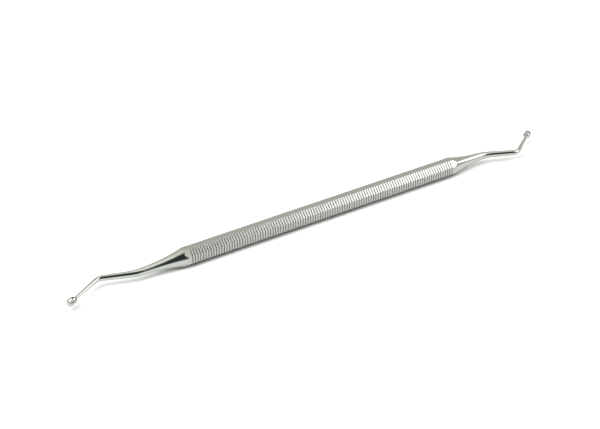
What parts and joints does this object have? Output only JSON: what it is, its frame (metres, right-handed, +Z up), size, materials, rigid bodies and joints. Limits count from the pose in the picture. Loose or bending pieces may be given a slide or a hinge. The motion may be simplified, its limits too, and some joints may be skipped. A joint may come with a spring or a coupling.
{
  "type": "double-ended bone curette",
  "caption": "Double-ended bone curette: grooved octagonal handle, turned shoulders, and a hollow-ground spoon on a bent, tapered shank at each end.",
  "frame": {"origin": "middle of the plain bottom facet of the handle, which is what the instrument rests on", "axes": "+X along the handle, +Z up out of the plain top facet"},
  "size_m": [0.1791, 0.0098, 0.0058],
  "materials": {
    "steel": "polished shanks and spoons, satin handle"
  },
  "bodies": {
    "root": {"curette": "steel"}
  },
  "joints": []
}
